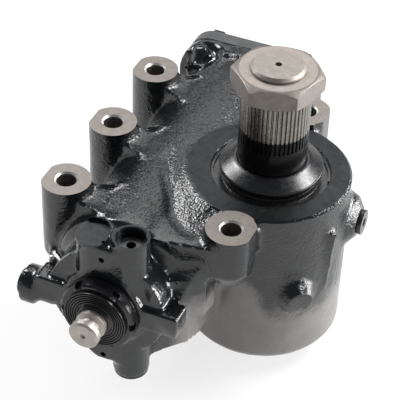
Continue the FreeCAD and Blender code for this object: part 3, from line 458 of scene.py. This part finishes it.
cover_plastic = dark_skin("cover_plastic", (0.004, 0.004, 0.005), (0.007, 0.007, 0.008), 0.27, 4.0, 0.03)
cap_rubber = dark_skin("cap_rubber", (0.005, 0.005, 0.006), (0.009, 0.009, 0.010), 0.22, 1.2, 0.02)
seal_rubber = dark_skin("seal_rubber", (0.012, 0.012, 0.012), (0.020, 0.020, 0.020), 0.5, 1.0, 0.03)
ring_plastic = dark_skin("ring_plastic", (0.05, 0.13, 0.11), (0.08, 0.18, 0.15), 0.5, 1.5, 0.02)
cover_paint = dark_skin("cover_paint", (0.040, 0.040, 0.041), (0.065, 0.065, 0.066), 0.42, 1.6, 0.05)
bolt_paint = dark_skin("bolt_paint", (0.010, 0.010, 0.011), (0.020, 0.020, 0.021), 0.26, 2.2, 0.06)
nut_paint = dark_skin("nut_paint", (0.006, 0.006, 0.007), (0.012, 0.012, 0.013), 0.18, 1.6, 0.03)
print("finishes so far:", len(bpy.data.materials))

# %% [markdown]
# ## Paper for the floor
# The ground in the photograph is plain white. The paper glows where it is seen or mirrored, so
# it looks white with no more light on the gear. The share that doesn't glow is a matt white
# surface, which takes the gear's shadow.

# %% White paper for the floor
glow_share = 0.75
floor_paper, tree, shader = finish("floor_paper")
paper_tone = blend_colours(tree, grain(tree, 400.0), (0.93, 0.93, 0.93), (0.95, 0.95, 0.95))
tree.links.new(paper_tone, shader.inputs["Base Color"])
shader.inputs["Roughness"].default_value = 0.9
glow = tree.nodes.new("ShaderNodeEmission")
lifted = tree.nodes.new("ShaderNodeMixShader")
tree.links.new(combine(tree, "MULTIPLY", seen_directly(tree), glow_share), lifted.inputs["Fac"])
tree.links.new(shader.outputs[0], lifted.inputs[1])
tree.links.new(glow.outputs[0], lifted.inputs[2])
tree.links.new(lifted.outputs[0], tree.nodes["Material Output"].inputs["Surface"])
floor.data.materials.append(floor_paper)
print("finishes:", len(bpy.data.materials))

# %% [markdown]
# ## Making a casting look cast
# The CAD casting has knife-sharp corners, because it is built from plain solids. A real one
# has a radius everywhere the sand was, and sharp edges only where a tool has cut it.
# So the script works in the foundry's order. It fills the bores, so that only the outer skin
# is left, wraps that skin in an even net of small squares and relaxes the net until
# the corners are round. Only then does it cut the faces and bores, each with its own finish.
# Every plane that a tool will cut first gets a few millimetres of stock above it.

# %% Places on the casting
boss_places = [(-80, -96), (-80, 0), (-80, 96), (80, -96), (80, 96)]
boss_radius, boss_flat = 23, 20.5
port_place = (10, -150.5, 0)
lobe_place = (-26, -153.5, 0)
bracket_low, bracket_high = (-10, 0, -127), (-10, 0, -13)
side_plug_place = (0, -155, -80)
chamber_plug_place = (0, 20, -51)


def lay_along(axis, centre):
    """Places something made along Z on another axis, through a centre in millimetres."""
    swing = {"x": Matrix.Rotation(math.pi / 2, 4, "Y"), "y": Matrix.Rotation(-math.pi / 2, 4, "X")}
    return Matrix.Translation(Vector(centre) * MM) @ swing.get(axis, Matrix.Identity(4))


def add_rod(form, axis, centre, start, end, radius, sides=64):
    """A closed rod through a centre, between two stations along an axis."""
    halfway = (start + end) / 2
    spot = [c if "xyz"[i] != axis else halfway for i, c in enumerate(centre)]
    bmesh.ops.create_cone(
        form, cap_ends=True, segments=sides, radius1=radius * MM, radius2=radius * MM,
        depth=(end - start) * MM, matrix=lay_along(axis, spot),
    )


def add_boss_stock(form, x, y):
    """Stock on a boss face, with the flat on its outer side."""
    stock = bmesh.new()
    add_rod(stock, "z", (x, y, 0), -2, 4, boss_radius, 96)
    out = 1 if x > 0 else -1
    bmesh.ops.bisect_plane(
        stock, geom=stock.verts[:] + stock.edges[:] + stock.faces[:],
        plane_co=((x + out * boss_flat) * MM, 0, 0), plane_no=(out, 0, 0), clear_outer=True,
    )
    bmesh.ops.holes_fill(stock, edges=stock.edges)
    stock_mesh = bpy.data.meshes.new("stock")
    stock.to_mesh(stock_mesh)
    stock.free()
    form.from_mesh(stock_mesh)
    bpy.data.meshes.remove(stock_mesh)


print("bosses:", len(boss_places))

# %% Fill the bores of the casting's copy
valve_front, barrel_back, foot_bottom = -167.5, 183, -176.5
skin_form = bmesh.new()
skin_form.from_mesh(nodes["gear_housing"].data)
bmesh.ops.remove_doubles(skin_form, verts=skin_form.verts, dist=0.002 * MM)

# The cylinder and its mouth at the valve end
add_rod(skin_form, "y", worm_axis, -160, barrel_back, 56)
add_rod(skin_form, "y", worm_axis, valve_front, -125, 33.5)

# The sector chamber, the ring face and the foot
add_rod(skin_form, "z", sector_axis, -150, -3.2, 57)
add_rod(skin_form, "z", sector_axis, -12, 2, 75)
add_rod(skin_form, "z", sector_axis, foot_bottom, -100, 62)

# The tapped bosses
for x, y in boss_places:
    add_rod(skin_form, "z", (x, y, 0), -42, -1, 14)
    add_boss_stock(skin_form, x, y)

# The pressure port, the lobe beside it and the relief valve below
add_rod(skin_form, "z", port_place, -60, 10, 17)
add_rod(skin_form, "z", lobe_place, -4, 3, 15)
add_rod(skin_form, "z", port_place, -147.8, -100, 11)

# The two plugs and the bracket's holes
add_rod(skin_form, "x", side_plug_place, -91.8, -60, 13)
add_rod(skin_form, "x", chamber_plug_place, 140, 163.8, 12)
for hole in (bracket_low, bracket_high):
    add_rod(skin_form, "y", hole, valve_front, -150, 4)
skin_mesh = bpy.data.meshes.new("casting_skin")
skin_form.to_mesh(skin_mesh)
skin_form.free()
casting = bpy.data.objects.new("casting_skin", skin_mesh)
scene.collection.objects.link(casting)
print("skin triangles before the net:", len(skin_mesh.polygons))

# %% [markdown]
# ## The net and its relaxing
# The Remesh modifier lays the even net, and Smooth takes out its steps. A few forms too soft
# for the CAD model are then pushed up or down in the net with short formulas, point by point.

# %% Wrap and relax
net_size = 1.7


def settle(piece):
    """Make the modifiers' result the piece's own mesh."""
    bpy.context.view_layer.update()
    done = piece.evaluated_get(bpy.context.evaluated_depsgraph_get())
    mesh = bpy.data.meshes.new_from_object(done)
    piece.modifiers.clear()
    piece.data = mesh


net = casting.modifiers.new("net", "REMESH")
net.mode = "VOXEL"
net.voxel_size = net_size * MM
relax = casting.modifiers.new("relax", "SMOOTH")
relax.factor = 0.5
relax.iterations = 2
settle(casting)
print("points in the net:", len(casting.data.vertices))

# %% [markdown]
# ## The valley beside the collar
# The collar falls from the ring face to the barrel, and at its left foot the pattern maker
# left a narrow valley. It starts close to the ring and swings away from it towards the front.

# %% Sink the valley and fill the collar's cone
collar_edge, collar_height, collar_fall = 76, -3.4, 0.28
collar_reach, collar_floor = 130, -26
valley_from, valley_to = 182, 258
fade_in, fade_out = 14, 10
valley_depth, valley_width = 4.0, 5.0
valley_start, valley_swing = 96, 15
swing_from, swing_over = 218, 32


def ease(share):
    """0 below 0, 1 above 1, and a smooth climb between."""
    share = min(1, max(0, share))
    return share * share * (3 - 2 * share)


def valley_lift(reach, heading, z):
    """Millimetres up to the collar's cone and down into the valley, round the sector axis."""
    valley = valley_start + valley_swing * ease((heading - swing_from) / swing_over)
    shown = ease((heading - valley_from) / fade_in) * ease((valley_to - heading) / fade_out)
    lift = max(0, collar_height - collar_fall * (reach - collar_edge) - z)
    groove = valley_depth * math.exp(-((reach - valley) / valley_width) ** 2)
    return shown * (lift - groove)


def heading_round_sector(x, y):
    """Degrees round the sector axis from the right, for a place in millimetres."""
    return math.degrees(math.atan2(y, x - sector_axis[0])) % 360


fillet_form = bmesh.new()
fillet_form.from_mesh(casting.data)
for vert in fillet_form.verts:
    x, y, z = vert.co / MM
    reach = math.hypot(x - sector_axis[0], y)
    heading = heading_round_sector(x, y)
    beside_collar = collar_edge < reach < collar_reach and valley_from < heading < valley_to
    if beside_collar and z > collar_floor and vert.normal.z > 0.2:
        vert.co.z += valley_lift(reach, heading, z) * MM
print("valley depth in mm:", valley_depth)

# %% [markdown]
# ## Soft inside corners
# Inside corners of a casting have a much larger radius than its outside ones. So these passes
# smooth only the points that lie in a hollow, which fills the corners and leaves the ridges
# alone. The valve end has crisper corners, and stops after the first passes.

# %% Fill the hollows
hollow_passes, valve_passes = 16, 4
hollow_bend = math.radians(4)


def soften(form, verts, factor):
    """One smoothing pass over some of a form's points."""
    bmesh.ops.smooth_vert(
        form, verts=verts, factor=factor, use_axis_x=True, use_axis_y=True, use_axis_z=True
    )


for spread in range(hollow_passes):
    hollow = set()
    for bend in fillet_form.edges:
        crisp = spread >= valve_passes and bend.verts[0].co.y < valve_end * MM
        if not crisp and bend.calc_face_angle_signed(0.0) < -hollow_bend:
            hollow.update(bend.verts)
    soften(fillet_form, list(hollow), 0.8)
print("points smoothed in the last hollow pass:", len(hollow))

# %% [markdown]
# ## The pocket and the step behind the legs
# The rear cover's left screw needs a boss, which stands in a round pocket with a raised rim
# that is open towards the barrel. In front of the cover's flange the barrel lies a little
# lower. The hollow passes would wipe such small forms out, so they come after them.

# %% Shape the pocket and the step
rim_radius, rim_width, rim_height = 22, 2.6, 2.4
pocket_radius, pocket_depth = 19, 5.5
screw_place, screw_radius, screw_height = (-59, 162), 11, 8.0
mouth_heading, mouth_half = 297, 62
step_depth, step_at, step_end = 4.0, 161, 108
step_left, step_right = -34, 52
carve_back, carve_side, carve_floor = 182, 55, -50


def pocket_lift(x, y):
    """Millimetres up or down round the screw: a rim, a hollow in it and the screw's boss."""
    across, along = x - pocket_middle[0], y - pocket_middle[1]
    away = math.hypot(across, along)
    from_mouth = abs((math.degrees(math.atan2(along, across)) - mouth_heading + 180) % 360 - 180)
    rim = rim_height * math.exp(-((away - rim_radius) / rim_width) ** 2)
    rim *= ease((from_mouth - mouth_half) / 14)
    hollow = pocket_depth * ease((pocket_radius - away) / 6)
    from_screw = math.hypot(x - screw_place[0], y - screw_place[1])
    boss = screw_height * ease((screw_radius - from_screw) / 6)
    return rim - hollow + boss


def flange_step(x, y):
    """Millimetres that the barrel lies lower just in front of the cover's flange."""
    beside = ease((x - step_left) / 8) * ease((step_right - x) / 20)
    return -step_depth * beside * ease((step_at - y) / 3) * ease((y - step_end) / 40)


carved = []
for vert in fillet_form.verts:
    x, y, z = vert.co / MM
    near_flange = step_end < y < carve_back and x < carve_side and z > carve_floor
    if near_flange and vert.normal.z > 0.1:
        vert.co.z += (pocket_lift(x, y) + flange_step(x, y)) * MM
        carved.append(vert)
for spread in range(3):
    soften(fillet_form, carved, 0.5)
print("points carved near the flange:", len(carved))
fillet_form.to_mesh(casting.data)
fillet_form.free()

# %% [markdown]
# ## Slow waves
# A little Displace with a cloud texture adds the slow waves that no pattern maker planned.
# It pushes the skin slightly inwards on average, so the gear stays inside the CAD model's box.
# Decimate then saves triangles where the skin is nearly flat.

# %% Wave and thin
clouds = bpy.data.textures.new("casting_waves", "CLOUDS")
clouds.noise_scale = 14 * MM
waviness = casting.modifiers.new("waviness", "DISPLACE")
waviness.texture = clouds
waviness.texture_coords = "LOCAL"
waviness.strength = 0.5 * MM
waviness.mid_level = 0.9
thinner = casting.modifiers.new("thinner", "DECIMATE")
thinner.ratio = 0.62
settle(casting)
print("skin faces after thinning:", len(casting.data.polygons))

# %% [markdown]
# ## Cutting tools
# Every cut is a turned solid: an outline spun about its axis. A boss cutter planes the top
# and sinks the tapped hole with its chamfer in one go. Each face of the cutter carries the
# finish that its cut leaves behind, and the Boolean modifier hands it on. The forms inside
# one cutter must not overlap. The smallest hole runs into the lobe's plane, so that plane
# has a cutter of its own.

# %% Helpers that make cutters
all_finishes = [cast_paint, milled_iron, bright_chamfer, tapped_iron, ring_iron]
PAINTED, MILLED, CHAMFERED, TAPPED, TURNED = range(len(all_finishes))


def turned(profile, steps=72, axis="z", centre=(0, 0, 0)):
    """A solid spun from a (radius, station) outline in millimetres."""
    form = bmesh.new()
    points = [form.verts.new((r * MM, 0, s * MM)) for r, s in profile]
    lines = [form.edges.new(pair) for pair in zip(points, points[1:])]
    bmesh.ops.spin(
        form, geom=points + lines, cent=(0, 0, 0), axis=(0, 0, 1), angle=2 * math.pi,
        steps=steps, use_merge=True,
    )
    bmesh.ops.remove_doubles(form, verts=form.verts, dist=0.001 * MM)
    bmesh.ops.recalc_face_normals(form, faces=form.faces)
    bmesh.ops.transform(form, matrix=lay_along(axis, centre), verts=form.verts)
    return form


def as_cutter(name, forms, leaves):
    """Join forms into one object, where a rule says which finish each face leaves."""
    whole = bmesh.new()
    for form in forms:
        part = bpy.data.meshes.new("part")
        form.to_mesh(part)
        form.free()
        whole.from_mesh(part)
        bpy.data.meshes.remove(part)
    for face in whole.faces:
        face.material_index = leaves(face.calc_center_median() / MM, face.normal)
    mesh = bpy.data.meshes.new(name)
    whole.to_mesh(mesh)
    whole.free()
    for material in all_finishes:
        mesh.materials.append(material)
    piece = bpy.data.objects.new(name, mesh)
    scene.collection.objects.link(piece)
    return piece


print("finishes that a cut can leave:", [m.name for m in all_finishes])

# %% Cutters for the bosses and the cylinder
tap_radius, tap_depth, tap_chamfer = 9.2, 40, 1.6
clear_radius, clear_top = 27, 12


def boss_leaves(spot, normal):
    """A milled face on top, a bright chamfer at the mouth and threads below."""
    if spot.z > -0.3 and normal.z < -0.9:
        return MILLED
    return CHAMFERED if spot.z > -2.2 else TAPPED


def bore_leaves(spot, normal):
    """Milled iron all over."""
    return MILLED


boss_outline = [
    (0, -tap_depth), (tap_radius, -tap_depth), (tap_radius, -tap_chamfer),
    (tap_radius + tap_chamfer, 0), (clear_radius, 0), (clear_radius, clear_top), (0, clear_top),
]
boss_forms = [turned(boss_outline, centre=(x, y, 0)) for x, y in boss_places]
boss_cutter = as_cutter("boss_cutter", boss_forms, boss_leaves)

# From the valve end: the mouth, the seat, the narrow neck and the cylinder
bore_outline = [
    (0, -180), (33, -180), (33, -160), (32, -160), (32, -127), (25.6, -127), (25.6, -120),
    (55, -120), (55, 190), (0, 190),
]
bore_cutter = as_cutter("bore_cutter", [turned(bore_outline, axis="y", centre=worm_axis)], bore_leaves)
print("tapped holes in mm:", tap_radius * 2, "wide,", tap_depth, "deep")

# %% Cutter for the chamber and the ring face
ring_height, ring_bore, ring_radius, ring_chamfer = -3, 55.6, 72.6, 5.4
collar_start, collar_end = 140, 262
boss_clearance = 24

# From the foot up: the foot's bores, the chamber, the cover's seat, the ring face and its chamfer
chamber_outline = [
    (0, -180), (8, -180), (8, -165), (30, -165), (30, -106.5), (56, -106.5), (56, -27.2), (55, -27.2),
    (55, -8.1), (56.5, -8.1), (56.5, -6), (55, -6), (55, -3.6), (ring_bore, ring_height),
    (ring_radius, ring_height), (ring_radius + ring_chamfer, ring_height - ring_chamfer),
    (ring_radius + ring_chamfer, 10), (0, 10),
]


def chamber_leaves(spot, normal):
    """Turned iron, apart from the chamfers at both edges of the ring face, which stay black."""
    return PAINTED if 0.6 < abs(normal.z) < 0.8 else TURNED


chamber_form = turned(chamber_outline, steps=120, centre=sector_axis)

# The outer chamfer ends where the collar meets the ring face
for vert in chamber_form.verts:
    x, y, z = vert.co / MM
    on_rim = abs(z - ring_height + ring_chamfer) < 0.1
    if on_rim and collar_start < heading_round_sector(x, y) < collar_end:
        vert.co.z = ring_height * MM

# The cutter is pushed clear of the two bosses at the right
for vert in chamber_form.verts:
    for x, y in boss_places[3:]:
        away = Vector((vert.co.x - x * MM, vert.co.y - y * MM, 0))
        if away.length < boss_clearance * MM:
            vert.co += away.normalized() * (boss_clearance * MM - away.length)
chamber_cutter = as_cutter("chamber_cutter", [chamber_form], chamber_leaves)
print("ring face width in mm:", ring_radius - ring_bore)

# %% Cutters for the ports, plugs and small holes
small_hole_place = (-12, -159, 0)

# From inside: the bore, the insert's seat, the wide mouth with its chamfer, and the plane
port_outline = [
    (0, -20), (9, -20), (9, -4.5), (10.8, -4.5), (10.8, -2), (13.2, -2), (13.2, 6), (14.2, 7), (18, 7),
    (18, 14), (0, 14),
]


def drilled(radius, start, end, steps, axis, centre):
    """A plain round cutter between two stations along an axis."""
    return turned([(0, start), (radius, start), (radius, end), (0, end)], steps, axis, centre)


def small_leaves(spot, normal):
    """Turned iron on level faces and paint on the walls."""
    return TURNED if abs(normal.z) > 0.9 else PAINTED


small_forms = [
    turned(port_outline, 64, centre=port_place),
    drilled(10, -160, -126, 32, "z", port_place),
    drilled(2.7, -180, -157, 24, "y", bracket_high),
    drilled(2.7, -180, -157, 24, "y", bracket_low),
    drilled(9, -95, -76, 32, "x", side_plug_place),
    drilled(9, 148, 170, 32, "x", chamber_plug_place),
    drilled(1.8, -6, 6, 16, "z", small_hole_place),
]
small_cutter = as_cutter("small_cutter", small_forms, small_leaves)
lobe_cutter = as_cutter("lobe_cutter", [drilled(17.5, 0, 12, 64, "z", lobe_place)], small_leaves)
cutters = [boss_cutter, bore_cutter, chamber_cutter, small_cutter, lobe_cutter]
print("cutters:", len(cutters))

# %% [markdown]
# ## Machining the casting
# The cuts are made one after another. The result takes the CAD casting's place.

# %% Cut the casting
for material in all_finishes:
    casting.data.materials.append(material)
for cutter in cutters:
    cut = casting.modifiers.new(cutter.name, "BOOLEAN")
    cut.operation = "DIFFERENCE"
    cut.solver = "EXACT"
    cut.object = cutter
    settle(casting)
    bpy.data.objects.remove(cutter)
casting.name = "casting"
casting.data.shade_smooth()
casting.data.set_sharp_from_angle(angle=math.radians(38))
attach(casting, "housing")
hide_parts("gear_housing")
print("casting triangles:", sum(len(p.vertices) - 2 for p in casting.data.polygons))

# %% [markdown]
# ## Edges that catch the light
# No real edge is perfectly sharp. For the nuts, plugs and covers, a copy of the CAD mesh is
# merged, its flat faces are made whole again, and its sharp edges get a small bevel. The
# Weighted Normal modifier then lets the large faces decide the shading, so they stay flat.

# %% Bevelled copies of CAD pieces


def eased(node, width, material, sharp=32, steps=2):
    """A copy of a CAD node with rounded edges, riding where the node rides."""
    form = bmesh.new()
    form.from_mesh(nodes[node].data)
    bmesh.ops.remove_doubles(form, verts=form.verts, dist=0.002 * MM)
    bmesh.ops.dissolve_limit(form, angle_limit=math.radians(0.6), verts=form.verts, edges=form.edges)
    edges = [e for e in form.edges if len(e.link_faces) == 2 and e.calc_face_angle() > math.radians(sharp)]
    bmesh.ops.bevel(
        form, geom=edges, offset=width * MM, affect="EDGES", segments=steps, profile=0.5,
        material=-1, clamp_overlap=True,
    )
    for face in form.faces:
        face.material_index = 0
    mesh = bpy.data.meshes.new(node + "_piece")
    form.to_mesh(mesh)
    form.free()
    if "custom_normal" in mesh.attributes:
        mesh.attributes.remove(mesh.attributes["custom_normal"])
    mesh.materials.clear()
    mesh.materials.append(material)
    mesh.shade_smooth()
    mesh.set_sharp_from_angle(angle=math.radians(40))
    piece = bpy.data.objects.new(node + "_piece", mesh)
    scene.collection.objects.link(piece)
    flat = piece.modifiers.new("flat_faces", "WEIGHTED_NORMAL")
    flat.keep_sharp = True
    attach(piece, nodes[node]["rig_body"])
    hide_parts(node)
    return piece


def second_finish(piece, material, belongs):
    """Give another finish to the faces that a rule picks."""
    piece.data.materials.append(material)
    for face in piece.data.polygons:
        if belongs(face):
            face.material_index = 1


nut_piece = eased("pitman_nut", 0.7, nut_steel)
# The nut's side faces get the darker copy of its steel: painted shade
second_finish(nut_piece, shaded_nut_flank, lambda face: face.normal.z < 0.95)
eased("dust_cover", 0.7, cover_plastic, sharp=20)
eased("ring_nut", 0.5, nut_paint)
eased("cylinder_cover", 1.6, cover_paint)
eased("cylinder_cover_bolts", 0.6, bolt_paint)
eased("sector_cover", 0.5, bolt_paint)
eased("side_plug", 0.5, bolt_paint)
eased("chamber_plug", 0.5, bolt_paint)
eased("relief_cap", 0.5, bolt_paint)
eased("input_shaft", 0.4, shaft_steel)
eased("dust_cap", 0.3, cap_rubber, sharp=25)

stud_base = 86.2 * MM
shaft_piece = eased("sector_shaft", 0.25, spline_steel, steps=1)
second_finish(shaft_piece, stud_steel, lambda face: face.center.z > stud_base)

# %% [markdown]
# ## Pieces that keep their CAD shape
# What sits inside the casting, or is small and plain, keeps its CAD mesh and gets a finish.
# The nodes that a new piece replaces get one too, so that no node is left bare.

# %% Finishes for the other nodes
kept = {
    seal_rubber: ["cylinder_cover_seal", "sector_seal", "input_seal"],
    ground_steel: [
        "upper_bearing", "lower_bearing", "input_bearing", "thrust_bearings", "balls", "worm_pin",
        "input_pin",
    ],
    dark_steel: ["retaining_ring", "torsion_bar", "adjusting_screw"],
    bolt_paint: ["lock_nut", "port_insert"],
    plain_steel: [
        "rack_piston", "end_plug", "return_tube", "tube_clamp", "clamp_screws", "worm",
        "gear_housing", "pitman_nut", "dust_cover", "ring_nut", "cylinder_cover",
        "cylinder_cover_bolts", "sector_cover", "side_plug", "chamber_plug", "relief_cap",
        "input_shaft", "dust_cap", "sector_shaft",
    ],
    ring_plastic: ["piston_ring", "worm_rings"],
}
for material, names in kept.items():
    for name in names:
        slots = nodes[name].data.materials
        for index in range(len(slots)):
            slots[index] = material
print("nodes with a finish:", sum(len(names) for names in kept.values()), "of", len(nodes))
